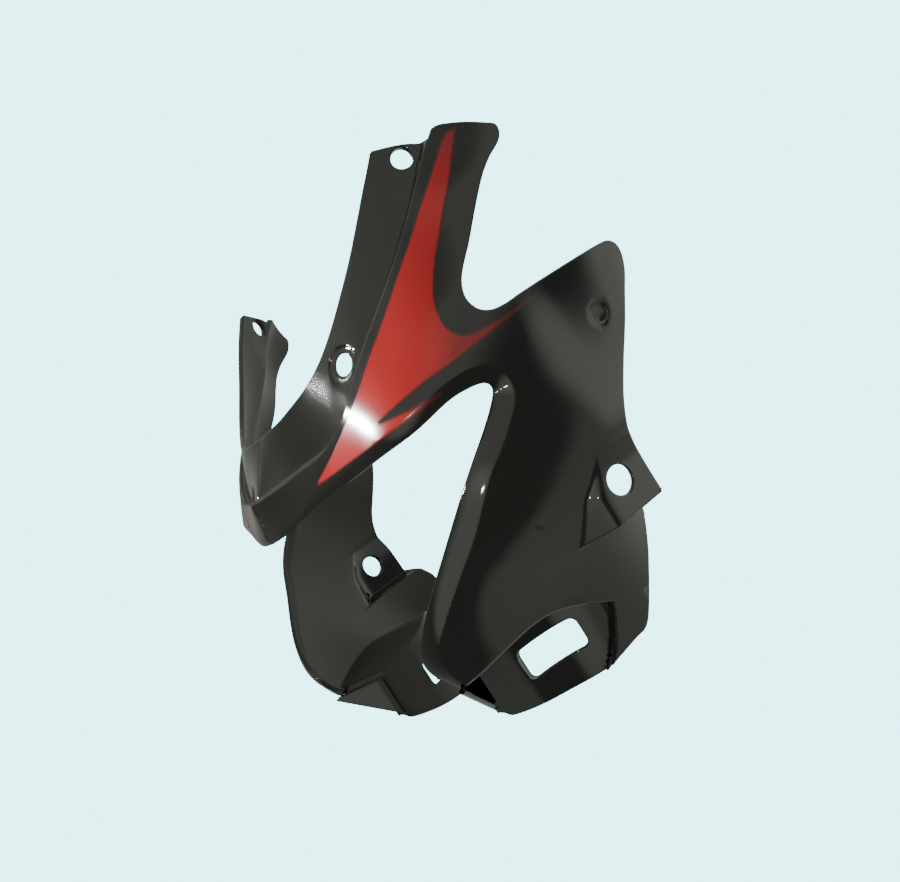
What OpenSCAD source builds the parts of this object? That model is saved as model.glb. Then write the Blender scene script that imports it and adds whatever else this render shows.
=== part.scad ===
// Headlight visor of a motorcycle: one moulded shell shaped like an arch, with two cheeks that
// reach down beside the headlight, and a vinyl flash on each side.
// Axes: +X is the rider's left, -Y is forward, +Z is up.
// The origin is the middle of the line through the two lug bores.

/* [Main sizes] */
// Depth of the shell, from the nose to the rear edge of the wing
shell_depth = 142; // [138:1:146]
// Height of the shell, from the slot panel to the top of the post
shell_height = 236; // [230:1:242]

/* [Shell] */
// Wall thickness of the moulding
wall = 2.6; // [2.2:0.1:3.2]
// How far the windscreen flange lies below the crease
flange_step = 3.5; // [2:0.5:5]
// How far the bevel round the headlight opening turns inwards
bevel_drop = 5; // [3:0.5:7]
// Degrees over which the slot panel runs back into the cheek
recess_fade = 8; // [5:1:12]

/* [Lugs] */
// Diameter of the bore in each lug
lug_bore = 12; // [9:0.5:14]
// Distance between the outer faces of the two lug pads
lug_span = 246.8; // [244:0.2:249]
// Thickness of the pad at the bore
lug_pad = 3.4; // [2.6:0.1:4.5]

/* [Windscreen holes] */
// Diameter of the upper hole in the windscreen flange
upper_hole = 9; // [7:0.5:10]
// Diameter of the lower hole in the windscreen flange
lower_hole = 9.5; // [7:0.5:10]
// Diameter of the flat dish round the lower hole
dish_d = 16; // [14:0.5:17]
// Depth of that dish
dish_depth = 0.8; // [0.4:0.1:1]

/* [Indicator slot] */
// Length of the slot for the indicator stalk
slot_l = 30; // [26:0.5:32]
// Height of that slot
slot_h = 14; // [10:0.5:15]
// Corner radius of that slot
slot_r = 3; // [1:0.5:4]

/* [Decal] */
// Thickness of the vinyl flash
vinyl = 0.6; // [0.5:0.05:0.9]
// Air and glue between the shell and the vinyl
vinyl_gap = 0.05; // [0.02:0.01:0.1]

/* [Hidden] */

// Depth and height at which the curves below are drawn, and their stretch to the main sizes
drawn_size = [142, 236];
stretch = [1, shell_depth / drawn_size.x, shell_height / drawn_size.y];
// The skin is lofted round an upright axis that stands behind the origin.
axis_y = 50;
// Angles of the stations round that axis, from the nose to the rear edge
stations = [0, 15, 30, 45, 60, 75, 90, 105];
// Heights of the sections, and the radius of each section at each station
section_z = [-70, -30, 10, 50, 90, 130, 170];
section_r = [
    [148, 138, 122, 110, 101,  90,  78,  68],
    [149, 151, 147, 126, 117,  99,  90,  82],
    [144, 151, 156, 148, 139, 129, 114, 101],
    [137, 136, 141, 152, 144, 133, 129, 122],
    [130, 120, 124, 131, 139, 134, 134, 136],
    [110, 105, 101, 100, 112, 131, 136, 145],
    [ 88,  84,  79,  76,  82,  98, 127, 155]
];
// Height of the crease below the windscreen flange, at each station
crease_z = [67, 68.5, 73, 100, 126, 153.5, 176, 190];
// Height and radius of the windscreen edge, at each station
screen_z = [91, 92.5, 101, 124.5, 153.5, 182, 200, 210];
screen_r = [114, 115.5, 115, 110, 107, 105, 104, 103];
// Height of the ledge over the slot panel, at each station
ledge_z = [-48, -45, -37, -32, -46, -48, -48, -48];
// Slot panel: angles round the axis, and its radius at each of them
panel_stations = [0, 15, 22.6, 24.5, 26.6, 29.3, 33.3, 39.6, 47, 53, 58.5, 105];
panel_r = [170, 145, 130, 120.4, 111.8, 103.2, 95.7, 91, 91.5, 95, 100, 104];
// Wall that closes the front of the slot panel's recess, in plan, from the cheek to the panel
front_wall = [[69, -77], [50, -59.5]];
front_wall_z = -37.4;
// Height below which nothing is left in front of that wall
front_clear_z = -35.4;
// Station past which the slot panel runs back into the cheek
panel_end = 50;
// Height below which nothing is left of the skin
skirt_z = -76;
// Angle and step of the mesh round the axis
half_angle = 99;
angle_step = 3;
// Height of the sharp turn at the crease and at the ledge
turn = 0.8;
// Rows of the mesh on the slot panel, on the main skin and on the flange
panel_rows = 4;
skin_rows = 12;
flange_rows = 4;

// Bevel round the headlight opening: its outer crease and its inner edge, as station and height
bevel_crease = [[20, 56.2], [28, 58.2], [37, 61], [45, 64], [52, 66.5], [57, 66], [60, 62], [61, 55],
    [60, 48.5], [57, 41], [54, 34.5], [50, 26.5], [44.5, 13], [38.5, 0.5], [31.5, -14.5],
    [29.5, -22], [29, -30], [29.2, -38]];
bevel_edge = [[20, 52.9], [28, 54.2], [37, 56], [45, 57.5], [51.5, 60.5], [55, 60.5], [57.5, 59],
    [58, 55.5], [56.5, 51], [53.5, 44.5], [50, 37.5], [45.5, 28], [39.3, 14.5], [33.5, 1.5],
    [28, -11.5], [25.5, -19], [25, -28], [27.3, -39.5]];
// Sections of the bevel strip between two of those points
bevel_steps = 3;
// How far the bevel strip is sunk into the wall, at its crease and at its root
crease_sink = 0.4;
root_sink = 0.9;

// Side outline, as [y, z] points: the brow at the nose, and the rest after the headlight opening
brow_front = [[-110, 47.5], [-87, 48], [-85, 49.5], [-80, 53]];
slot_panel_outline = [[-77.5, -39.4], [-60.4, -60], [-59.6, -62.6], [-57.2, -65], [-52, -67.4],
    [-43.4, -70.2], [-35, -72.2], [-26.5, -73.4], [-19, -74], [-13.4, -73.4], [-8, -71],
    [-4, -67.4], [-1.2, -62]];
rear_outline = [[3.6, -53], [10.5, -43.3], [15.5, -36], [18.8, -28], [19.2, -21.5], [16.5, -8],
    [15.5, 4], [15, 15], [19.5, 24], [30, 37], [37.7, 46.5], [47, 59.7], [52.5, 67], [55, 73],
    [54.6, 77.5], [51.5, 80.3], [46.5, 81]];
notch_outline = [[24.5, 81], [3, 80.6], [-4.7, 80.2], [-10.5, 80.8], [-14, 83.2], [-15.2, 87.5],
    [-14, 92], [-10, 97.5], [0.7, 107.5], [16, 124.3], [24, 130.5], [32.5, 135], [35.8, 138.5],
    [36.8, 142], [34.8, 144.5], [31, 149.5], [28.3, 153], [26, 155.6], [23.6, 156.2],
    [21.2, 155.6], [20.6, 153.6], [16, 156], [4, 161.2], [0, 175], [-110, 120]];
// Lug: outline of the pad, and of the foot where it meets the cheek, as [y, z] points
lug_pad_outline = [[-5, 13], [-8, 7], [-10.5, 1.8], [-11.6, -4.3], [-11.8, -9], [-11, -14],
    [9.5, -14.4], [13, -13.6], [14.6, -11.6], [15.4, -5], [16, 4], [16.5, 13]];
lug_foot_outline = [[-6, 14], [-13, 11.5], [-18.5, 6], [-21, -2], [-21, -14], [9.5, -14.4],
    [14, -12], [15, 14]];
// Distance from the mid-plane to the foot of the lug
lug_foot_x = 106;
// Middle of the slot on the panel, and the turn and tilt of its axis
slot_centre = [54.4, -26.2, -53.2];
slot_turn = -26;
slot_tilt = 0;
// Small moulded dimple on the wing: its place, diameter and depth
dimple_at = [29.5, 58];
dimple_station = 81.2;
wing_x = skin_r(dimple_station, dimple_at[1]) * sin(dimple_station);
dimple_d = 8;
dimple_depth = 0.7;
// Windscreen holes, as station and height, and how far a hole is drilled
upper_hole_at = [68.7, 152];
lower_hole_at = [36.5, 95];
drill = 24;
// Steps on a quarter of a drawn arc
arc_steps = 5;
// A distance from the mid-plane that lies outside the shell
reach = 200;
// Flash, as [y, z] points: the front edge from the top down, the lower branch, and the rear edge
flash_front = [[24.4, 150.2], [13.8, 142.6], [0.6, 130.4], [-7.1, 123], [-21.4, 110.8], [-33.5, 100.2],
    [-45.4, 90], [-57.3, 78.2], [-69, 65.6], [-73.6, 60.8], [-73.8, 59.3]];
flash_branch = [[-69, 60.6], [-61.5, 62], [-51, 62.8], [-41.5, 64.1], [-41.3, 65.1], [-51, 65.8],
    [-58.4, 67.2]];
flash_rear = [[-52, 69.4], [-42.8, 71], [-32.9, 71.5], [-25.2, 72.3], [-8.7, 74.2], [8.8, 76.4], [8.8, 77],
    [-13.5, 76.8], [-20.3, 77], [-24.2, 78.6], [-26, 81.6], [-26, 86], [-24, 92], [-19.7, 98.6],
    [-11.1, 108.2], [-3.6, 116], [3.4, 124.2], [15.9, 138], [27.4, 148.6]];
// Stations and rows of the skin that carry the flash
flash_from = 15;
flash_to = 87;
flash_row = 7;
$fn = 48;

shell_colour = [0.07, 0.07, 0.065];
vinyl_colour = [0.72, 0.1, 0.09];

// Index of the interval of xs that holds x
function knot(xs, x, i = 0) = i >= len(xs) - 2 || x < xs[i + 1] ? i : knot(xs, x, i + 1);

// Slope of ys over xs at knot i
function slope(xs, ys, i) =
    let (lo = max(i - 1, 0), hi = min(i + 1, len(xs) - 1))
    (ys[hi] - ys[lo]) / (xs[hi] - xs[lo]);

// Smooth curve through the knots, for numbers or for lists of numbers
function smooth(xs, ys, x) =
    let (i = knot(xs, x), h = xs[i + 1] - xs[i], t = (x - xs[i]) / h)
    t < 0 ? ys[0] + slope(xs, ys, 0) * (x - xs[0]) :
    t > 1 ? ys[i + 1] + slope(xs, ys, i + 1) * (x - xs[i + 1]) :
    (2 * t^3 - 3 * t^2 + 1) * ys[i] + (t^3 - 2 * t^2 + t) * h * slope(xs, ys, i)
    + (3 * t^2 - 2 * t^3) * ys[i + 1] + (t^3 - t^2) * h * slope(xs, ys, i + 1);

// Same curve through a list of points, at even parameters
function smooth_path(pts, steps) =
    let (knots = [for (i = [0 : len(pts) - 1]) i])
    [for (k = [0 : (len(pts) - 1) * steps]) smooth(knots, pts, k / steps)];

function smooth_step(t) = t <= 0 ? 0 : t >= 1 ? 1 : 3 * t^2 - 2 * t^3;

// Radii of the regions of the skin at angle a and height z
function skin_r(a, z) = smooth(stations, smooth(section_z, section_r, z), abs(a));
function crease_at(a) = smooth(stations, crease_z, abs(a));
function ledge_at(a) = smooth(stations, ledge_z, abs(a));
function low_r(a, z) =
    let (k = smooth_step((abs(a) - panel_end) / recess_fade), r = skin_r(a, z))
    k * r + (1 - k) * min(r, smooth(panel_stations, panel_r, abs(a)));
function flange_r(a, z) =
    let (z0 = crease_at(a), z1 = smooth(stations, screen_z, abs(a)),
         r0 = skin_r(a, z0) - flange_step, r1 = smooth(stations, screen_r, abs(a)))
    r0 + (r1 - r0) * (z - z0) / (z1 - z0);

function place(a, z, r) = [r * sin(a), (axis_y - r * cos(a)) * stretch.y, z * stretch.z];

// Points [y, z] of a side view, stretched to the main sizes
function side(pts) = [for (p = pts) [p[0] * stretch.y, p[1] * stretch.z]];

// Radial thickness that leaves the wall square to a surface with these slopes
function radial_wall(r, dr_da, dr_dz) =
    wall * min(1.7, sqrt(1 + dr_dz^2 + (dr_da * 180 / PI / r)^2));
function skin_wall(a, z) =
    radial_wall(skin_r(a, z), skin_r(abs(a) + 1, z) - skin_r(abs(a), z), skin_r(a, z + 1) - skin_r(a, z));
function low_wall(a, z) =
    radial_wall(low_r(a, z), low_r(abs(a) + 1, z) - low_r(abs(a), z), 0);
function flange_wall(a, z) =
    radial_wall(flange_r(a, z), flange_r(abs(a) + 1, z) - flange_r(abs(a), z),
        flange_r(a, z + 1) - flange_r(a, z));

// One upright line of the skin, as [z, outer radius, radial wall, rise of the inner point]
function column(a) =
    let (zl = ledge_at(a), zc = crease_at(a), zt = smooth(stations, screen_z, abs(a)))
    concat(
        [for (k = [0 : panel_rows])
            let (z = skirt_z + (zl - turn - skirt_z) * k / panel_rows)
            [z, low_r(a, z), low_wall(a, z), k == panel_rows ? wall : 0]],
        [for (k = [0 : skin_rows])
            let (z = zl + (zc - zl) * k / skin_rows)
            [z, skin_r(a, z), skin_wall(a, z), k == 0 ? wall : k == skin_rows ? -wall : 0]],
        [for (k = [0 : flange_rows])
            let (z = zc + turn + (zt - zc - turn) * k / flange_rows)
            [z, flange_r(a, z), flange_wall(a, z), k == 0 ? -wall : 0]]);

function quad(a, b, c, d) = [[a, b, c], [a, c, d]];
function flip_quad(a, b, c, d) = [[a, b, d], [b, c, d]];

// Closed sheet between an outer and an inner grid; the cells left of column half are mirrored
module sheet(outer, inner, half) {
    n = len(outer);
    m = len(outer[0]);
    function o(i, j) = i * m + j;
    function q(i, j) = n * m + i * m + j;
    faces = concat(
        [for (i = [0 : n - 2], j = [0 : m - 2])
            each i < half ? flip_quad(o(i, j), o(i, j + 1), o(i + 1, j + 1), o(i + 1, j))
                          : quad(o(i, j), o(i, j + 1), o(i + 1, j + 1), o(i + 1, j))],
        [for (i = [0 : n - 2], j = [0 : m - 2])
            each i < half ? flip_quad(q(i, j), q(i + 1, j), q(i + 1, j + 1), q(i, j + 1))
                          : quad(q(i, j), q(i + 1, j), q(i + 1, j + 1), q(i, j + 1))],
        [for (i = [0 : n - 2]) each quad(o(i, 0), o(i + 1, 0), q(i + 1, 0), q(i, 0))],
        [for (i = [0 : n - 2]) each quad(o(i + 1, m - 1), o(i, m - 1), q(i, m - 1), q(i + 1, m - 1))],
        [for (j = [0 : m - 2]) each quad(o(0, j + 1), o(0, j), q(0, j), q(0, j + 1))],
        [for (j = [0 : m - 2]) each quad(o(n - 1, j), o(n - 1, j + 1), q(n - 1, j + 1), q(n - 1, j))]);
    polyhedron(points = concat([for (c = outer) each c], [for (c = inner) each c]), faces = faces);
}

// The whole skin, from one rear edge over the nose to the other
module skin() {
    angles = [for (a = [-half_angle : angle_step : half_angle]) a];
    lines = [for (a = angles) column(a)];
    outer = [for (i = [0 : len(angles) - 1]) [for (p = lines[i]) place(angles[i], p[0], p[1])]];
    inner = [for (i = [0 : len(angles) - 1])
        [for (p = lines[i]) place(angles[i], p[0] + p[3], p[1] - p[2])]];
    sheet(outer, inner, (len(angles) - 1) / 2);
}

// Extrudes a drawing of the side view, as [y, z] points, from x0 to x1
module across(x0, x1, pts) {
    translate([x0, 0, 0])
        rotate([90, 0, 90])
            linear_extrude(x1 - x0)
                polygon(pts);
}

// Side view of the shell, extruded across the whole width
module side_outline() {
    crease = [for (p = smooth_path(bevel_crease, bevel_steps))
        let (q = place(p[0], p[1], skin_r(p[0], p[1]))) [q.y, q.z]];
    across(-reach, reach, concat(side(brow_front), crease, side(slot_panel_outline), side(rear_outline),
        side(notch_outline)));
}

// Wall in front of the slot panel's recess, one side
module recess_front() {
    t = front_wall[0];
    f = front_wall[1];
    in = wall * [t.y - f.y, f.x - t.x] / norm(t - f);
    scale(stretch)
        translate([0, 0, skirt_z])
            linear_extrude(front_wall_z - skirt_z)
                polygon([t, f, f + in, t + in]);
}

// What is cleared away in front of that wall, one side
module recess_clearance() {
    t = front_wall[0];
    f = front_wall[1];
    in = wall * [t.y - f.y, f.x - t.x] / norm(t - f);
    ahead = t + in + (t - f) / 2;
    scale(stretch)
        translate([0, 0, skirt_z - 1])
            linear_extrude(front_clear_z - skirt_z + 1)
                polygon([ahead, f + in, [f.x - 2 * wall, f.y], [-1, f.y], [-1, -reach], [ahead.x, -reach]]);
}

// Bevelled strip that turns in from the crease to the edge of the headlight opening, one side
module bevel() {
    outer = smooth_path(bevel_crease, bevel_steps);
    edge = smooth_path(bevel_edge, bevel_steps);
    n = len(outer);
    function root(k) = outer[k] + (outer[k] - edge[k]) * 2.5 / norm([2.5, norm(outer[k] - edge[k])]);
    function ring(k) =
        let (c = outer[k], e = edge[k], w = root(k), rc = skin_r(c[0], c[1]),
             re = skin_r(e[0], e[1]) - bevel_drop, rw = skin_r(w[0], w[1]), t = skin_wall(c[0], c[1]))
        [place(w[0], w[1], rw - root_sink), place(c[0], c[1], rc - crease_sink), place(e[0], e[1], re),
         place(e[0], e[1], re - t), place(c[0], c[1], rc - t + crease_sink),
         place(w[0], w[1], rw - t + root_sink)];
    // Buried in the brow, so that the strip grows out of the wall
    function buried_ring() =
        let (pts = [for (p = [root(0), outer[0], edge[0] + [0, 1]]) p - [2, 0]])
        concat([for (p = pts) place(p[0], p[1], skin_r(p[0], p[1]) - root_sink)],
            [for (i = [2, 1, 0]) let (p = pts[i])
                place(p[0], p[1], skin_r(p[0], p[1]) - skin_wall(p[0], p[1]) + root_sink)]);
    rings = concat([buried_ring()], [for (k = [0 : n - 1]) ring(k)]);
    m = 6;
    faces = concat(
        [for (k = [0 : n - 1], j = [0 : m - 1])
            each quad(k * m + j, (k + 1) * m + j, (k + 1) * m + (j + 1) % m, k * m + (j + 1) % m)],
        [for (j = [1 : m - 2]) [0, j, j + 1]],
        [for (j = [1 : m - 2]) [n * m, n * m + j + 1, n * m + j]]);
    polyhedron(points = [for (r = rings) each r], faces = faces);
}

// Direction square to the flange at angle a and height z
function flange_normal(a, z) =
    let (p = place(a, z, flange_r(a, z)),
         u = place(a + 1, z, flange_r(a + 1, z)) - p,
         v = place(a, z + 1, flange_r(a, z + 1)) - p, n = cross(u, v))
    n / norm(n);

// Stands what is drawn along Z on a point, along a direction
module along(p, n) {
    translate(p)
        rotate([0, acos(n.z), atan2(n.y, n.x)])
            children();
}

// Hole through the windscreen flange, with a flat dish round it where dish is not 0
module flange_hole(at, d, dish) {
    along(place(at[0], at[1], flange_r(at[0], at[1])), flange_normal(at[0], at[1])) {
        cylinder(h = drill, d = d, center = true);
        if (dish > 0)
            translate([0, 0, -dish_depth])
                cylinder(h = drill, d = dish);
    }
}

// Outside of a lug: a flat pad with drafted walls down to the cheek
module lug_body() {
    hull() {
        across(lug_span / 2 - 1, lug_span / 2, lug_pad_outline);
        across(lug_foot_x - 1, lug_foot_x, lug_foot_outline);
    }
}

// Hollow behind a lug, open towards the inside and the rear
module lug_hollow() {
    inner_pad = [for (p = lug_pad_outline) inset(p, [4, 2], wall)];
    inner_foot = [for (p = lug_foot_outline) inset(p, [4, 2], wall)];
    hull() {
        across(lug_span / 2 - lug_pad - 1, lug_span / 2 - lug_pad, inner_pad);
        across(lug_foot_x - 22, lug_foot_x - 1, inner_foot);
    }
}

// Point moved towards a middle by a distance, but past the rear edge where it lies behind it
function inset(p, mid, by) =
    p[0] > 8 ? [p[0] + 10, p[1] > mid[1] ? p[1] - by : p[1] + by]
             : p + (mid - p) * by / norm(mid - p) * 1.15;

// Rectangle with round corners, as points
function round_rectangle(l, h, r) =
    [for (c = [[1, 1, 0], [-1, 1, 90], [-1, -1, 180], [1, -1, 270]], k = [0 : arc_steps])
        let (t = c[2] + 90 * k / arc_steps)
        [c[0] * (l / 2 - r) + r * cos(t), c[1] * (h / 2 - r) + r * sin(t)]];

// Slot for the indicator stalk, cut square to the panel
module slot_cut() {
    at = [for (i = [0 : 2]) slot_centre[i] * stretch[i]];
    translate(at)
        rotate([0, slot_tilt, slot_turn])
            rotate([90, 0, 90])
                linear_extrude(drill, center = true)
                    polygon(round_rectangle(slot_l, slot_h, slot_r));
}

// What is added to or cut from each side of the skin
module side_solids() {
    bevel();
    lug_body();
}

module side_cuts() {
    lug_hollow();
    translate([lug_foot_x, 0, 0])
        rotate([0, 90, 0])
            cylinder(h = 2 * drill, d = lug_bore);
    flange_hole(upper_hole_at, upper_hole, 0);
    flange_hole(lower_hole_at, lower_hole, dish_d);
    slot_cut();
    translate([wing_x - dimple_depth, dimple_at[0] * stretch.y, dimple_at[1] * stretch.z])
        rotate([0, 90, 0])
            cylinder(h = drill, d = dimple_d);
}

module both_sides() {
    children();
    mirror([1, 0, 0])
        children();
}

module visor_shell() {
    color(shell_colour)
        difference() {
            union() {
                difference() {
                    intersection() {
                        skin();
                        side_outline();
                    }
                    both_sides() recess_clearance();
                }
                intersection() {
                    both_sides() recess_front();
                    side_outline();
                }
                both_sides() side_solids();
            }
            both_sides() side_cuts();
        }
}

// Vinyl flash on the rider's left, laid on the facets of the skin
module flash() {
    angles = [for (a = [flash_from : angle_step : flash_to]) a];
    first = panel_rows + 1 + flash_row;
    last = panel_rows + 1 + skin_rows;
    function film(lift) =
        [for (a = angles)
            let (c = column(a))
            [for (k = [first : last]) place(a, c[k][0], c[k][1] + lift)]];
    color(vinyl_colour)
        intersection() {
            sheet(film(vinyl_gap + vinyl), film(vinyl_gap), 0);
            across(0, reach, concat(side(flash_front), side(flash_branch), side(flash_rear)));
        }
}

module decal_left() {
    flash();
}

module decal_right() {
    mirror([1, 0, 0])
        flash();
}

visor_shell();
decal_left();
decal_right();
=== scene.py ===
"""Looks of the motorcycle headlight visor: a gloss black moulded shell with a red flash on each side."""

import math

import bpy
import numpy as np
from mathutils import Matrix, Vector
from mathutils.geometry import delaunay_2d_cdt


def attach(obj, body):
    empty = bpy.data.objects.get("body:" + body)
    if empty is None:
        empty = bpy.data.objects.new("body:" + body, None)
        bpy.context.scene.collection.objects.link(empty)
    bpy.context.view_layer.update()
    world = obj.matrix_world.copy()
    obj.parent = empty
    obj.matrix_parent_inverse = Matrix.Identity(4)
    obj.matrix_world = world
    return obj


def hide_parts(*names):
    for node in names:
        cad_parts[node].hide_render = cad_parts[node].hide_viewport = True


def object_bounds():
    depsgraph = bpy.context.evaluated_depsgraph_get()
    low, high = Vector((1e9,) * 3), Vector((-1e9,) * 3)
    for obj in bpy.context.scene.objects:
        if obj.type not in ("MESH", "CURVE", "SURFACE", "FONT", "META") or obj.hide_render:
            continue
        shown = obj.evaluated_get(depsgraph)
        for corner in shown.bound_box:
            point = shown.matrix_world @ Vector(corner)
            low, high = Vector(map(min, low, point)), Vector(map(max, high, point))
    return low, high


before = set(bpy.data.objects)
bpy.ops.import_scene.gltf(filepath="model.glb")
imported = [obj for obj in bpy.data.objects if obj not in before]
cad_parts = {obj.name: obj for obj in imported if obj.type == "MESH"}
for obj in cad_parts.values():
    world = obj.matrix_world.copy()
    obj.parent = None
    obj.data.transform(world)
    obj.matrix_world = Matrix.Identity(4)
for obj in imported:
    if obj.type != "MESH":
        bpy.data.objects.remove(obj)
CAD_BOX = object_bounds()

MM = 0.001

# Skin of the shell, in millimetres: radius of each level section at each station round an upright axis
AXIS_Y = 50.0
STATIONS = np.array([0, 15, 30, 45, 60, 75, 90, 105], float)
SECTION_Z = np.array([-70, -30, 10, 50, 90, 130, 170], float)
SECTION_R = np.array([
    [148, 138, 122, 110, 101, 90, 78, 68],
    [149, 151, 147, 126, 117, 99, 90, 82],
    [144, 151, 156, 148, 139, 129, 114, 101],
    [137, 136, 141, 152, 144, 133, 129, 122],
    [130, 120, 124, 131, 139, 134, 134, 136],
    [110, 105, 101, 100, 112, 131, 136, 145],
    [88, 84, 79, 76, 82, 98, 127, 155]], float)
CREASE_Z = np.array([67, 68.5, 73, 100, 126, 153.5, 176, 190], float)
SCREEN_Z = np.array([91, 92.5, 101, 124.5, 153.5, 182, 200, 210], float)
SCREEN_R = np.array([114, 115.5, 115, 110, 107, 105, 104, 103], float)
LEDGE_Z = np.array([-48, -45, -37, -32, -46, -48, -48, -48], float)
PANEL_STATIONS = np.array([0, 15, 22.6, 24.5, 26.6, 29.3, 33.3, 39.6, 47, 53, 58.5, 105])
PANEL_R = np.array([170, 145, 130, 120.4, 111.8, 103.2, 95.7, 91, 91.5, 95, 100, 104])
# Wall in front of the slot panel's recess, in plan, from the cheek to the panel
FRONT_WALL = np.array([[69, -77], [50, -59.5]])
# Heights of that wall's top and of its lip, at the cheek and at the fold
WALL_TOP, WALL_LIP = (-37.8, -39.0), (-39.2, -61.0)
# How far the panel and the wall run into each other at the fold, in degrees and millimetres
FOLD_TUCK, WALL_TUCK = 0.5, 2.0
# Level at which the panel's edge along the fold ends
FOLD_LOW = 0.43
# Where the recess turns out to the cheek: heights, the angle at each, and how many degrees the turn takes
RECESS_END = np.array([[-76, -73.6, -68, -61, -55, -50, -45, -38],
                       [44.3, 45.3, 48, 50.8, 52.7, 54.1, 55.2, 56.5]])
RECESS_FADE = 0.8
SKIRT_Z = -76.0
LAST_ANGLE = 104.0
WALL = 2.6
FLANGE_STEP = 3.5
TURN = 0.8
EDGE_ROUND = 0.75
# Bevel round the opening: its depth, the width where that depth is reached, and how softly it starts
BEVEL_DROP, BEVEL_WIDTH, BEVEL_SOFT = 5.0, 7.0, 0.045

# Levels of the profile: panel 0 to 1, ledge 1 to 2, skin 2 to 3, step 3 to 4, flange 4 to 5
LEDGE, SKIN, STEP, FLANGE, TOP = 1.0, 2.0, 3.0, 4.0, 5.0
# Rough length of each level and of one degree, used to keep triangles even
LEVEL_MM = np.array([0, 36, 66, 180, 184, 212], float)
DEGREE_MM = 2.3
# Millimetres of the drawing over which the inside's extra offset at a turn fades out
TURN_FADE = 8.0
# Samples on either side of a point that are averaged to round the turns, and their reach in millimetres
FILLET = np.array([-1, -0.66, -0.33, 0, 0.33, 0.66, 1])
FILLET_WEIGHT = np.array([1, 2, 3, 4, 3, 2, 1]) / 16
FILLET_MM = 1.1
# Near the skirt and the top edge the samples would bunch up, so the true profile is kept this close to them
KEPT_LOW, KEPT_HIGH = 0.06, 0.08

# Bevel's crease on the skin and the opening's edge, as angles and heights from the nose to the cheek's tip
BEVEL_CREASE = [[0, 50.4], [7, 51.2], [14, 53.8], [20, 56.2], [28, 58.2], [37, 61], [45, 64], [52, 66.5],
                [57, 66], [60, 62], [61, 55], [60, 48.5], [57, 41], [54, 34.5], [50, 26.5], [44.5, 13],
                [38.5, 0.5], [31.5, -14.5], [29.5, -22], [29, -30], [29.2, -38]]
BEVEL_EDGE = [[0, 48], [7, 48.8], [14, 51.3], [20, 52.9], [28, 54.2], [37, 56], [45, 57.5], [51.5, 60.5],
              [55, 60.5], [57.5, 59], [58, 55.5], [56.5, 51], [53.5, 44.5], [50, 37.5], [45.5, 28],
              [39.3, 14.5], [33.5, 1.5], [28, -11.5], [25.5, -19], [25, -28], [27.3, -39.5]]
BEVEL_STATIONS = 170

# Side outline in (y, z), millimetres
PANEL_LOW = [[-61.9, -60.2], [-59.2, -62.4], [-57.2, -65], [-52, -67.4], [-43.4, -70.2], [-35, -72.2],
             [-26.5, -73.4], [-19, -73.9], [-14.8, -73.4]]
# The same edge further back, as angles and heights, where the recess turns out to the cheek
RECESS_LOW = [[45.4, -73.4], [46.3, -72], [47.2, -70.5], [48.1, -69], [49.1, -67.6], [50.1, -66.6],
              [52.9, -65.1], [54.8, -64.1], [57.1, -63.1], [59.1, -62.6], [60.9, -60.1], [63.2, -54.4]]
REAR_LOW = [[8, -47], [10.5, -43.3], [15.5, -36], [18.8, -28], [19.2, -21.5]]
REAR = [[19.2, -21.5], [17.4, -16], [15.6, -13.4], [15.4, -10], [15.4, -4], [15.4, 4], [15, 14], [19.5, 24],
        [30, 37], [37.7, 46.5], [47, 59.7], [52.5, 67], [55, 73], [54.6, 77.5], [51.5, 80.3], [46.5, 81],
        [36, 81.1], [24.5, 81], [12, 80.8], [3, 80.5], [-4.7, 80.1], [-10.5, 80.8], [-14, 83.2],
        [-15.2, 87.5], [-14, 92], [-10, 97.5], [0.7, 107.5], [16, 124.3], [24, 130.5], [32.5, 135],
        [35.8, 138.5], [36.8, 142], [34.8, 144.5], [31, 149.5], [28.3, 153], [26, 155.6], [23.6, 156.2],
        [21.2, 155.6]]
POST_TOP = [[20.6, 153.6], [18.6, 154], [16, 155.6], [10, 158.6], [4, 161.2]]

# Windscreen holes: angle, height and radius; the lower one lies in a dish
UPPER_HOLE = (68.7, 152.0, 4.5)
LOWER_HOLE = (36.5, 95.0, 4.75)
DISH_R, DISH_DEPTH = 8.0, 0.8
# Small pressed mark on the wing: angle, height, radius and depth
DIMPLE = (81.2, 58.0, 4.0, 0.7)
SLOT_CENTRE = np.array([54.4, -26.2, -53.2])
SLOT_TURN = math.radians(-26)
SLOT_L, SLOT_H, SLOT_R = 30.0, 14.0, 3.0
LUG_X, LUG_PAD, LUG_BORE_R = 123.4, 3.4, 6.0
# How much the lug's own edges are rounded, and how softly it meets the cheek outside and inside
LUG_ROUND, LUG_BLEND, LUG_BLEND_INSIDE = math.sqrt(2.5), 1.8, 5.0
# Height where the lug ends and the height over which it fades out, and the box of the side view it is in
LUG_TOP, LUG_FADE = 16.5, 5.0
LUG_MIDDLE_Y, LUG_REACH_Y, LUG_REACH_Z, LUG_MIN_X = -2, 32, 24, 60
# Sides of the smaller box, in y and z, where the drawing gets a finer grid for the lug, and that grid's step
LUG_GRID_Y, LUG_GRID_Z, LUG_GRID_STEP = (-26.4, 17), (-22.4, 17.2), 0.8
# Sides of the lug: a point of the pad's edge in (y, z), the side's outward direction, and its draft
LUG_SIDES = [((-9.2, 4), (-0.86, 0.51), 2.0), ((-11.8, -6), (-1, 0.0), 1.9), ((0, -14.2), (0, -1), 22.0)]

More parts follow.
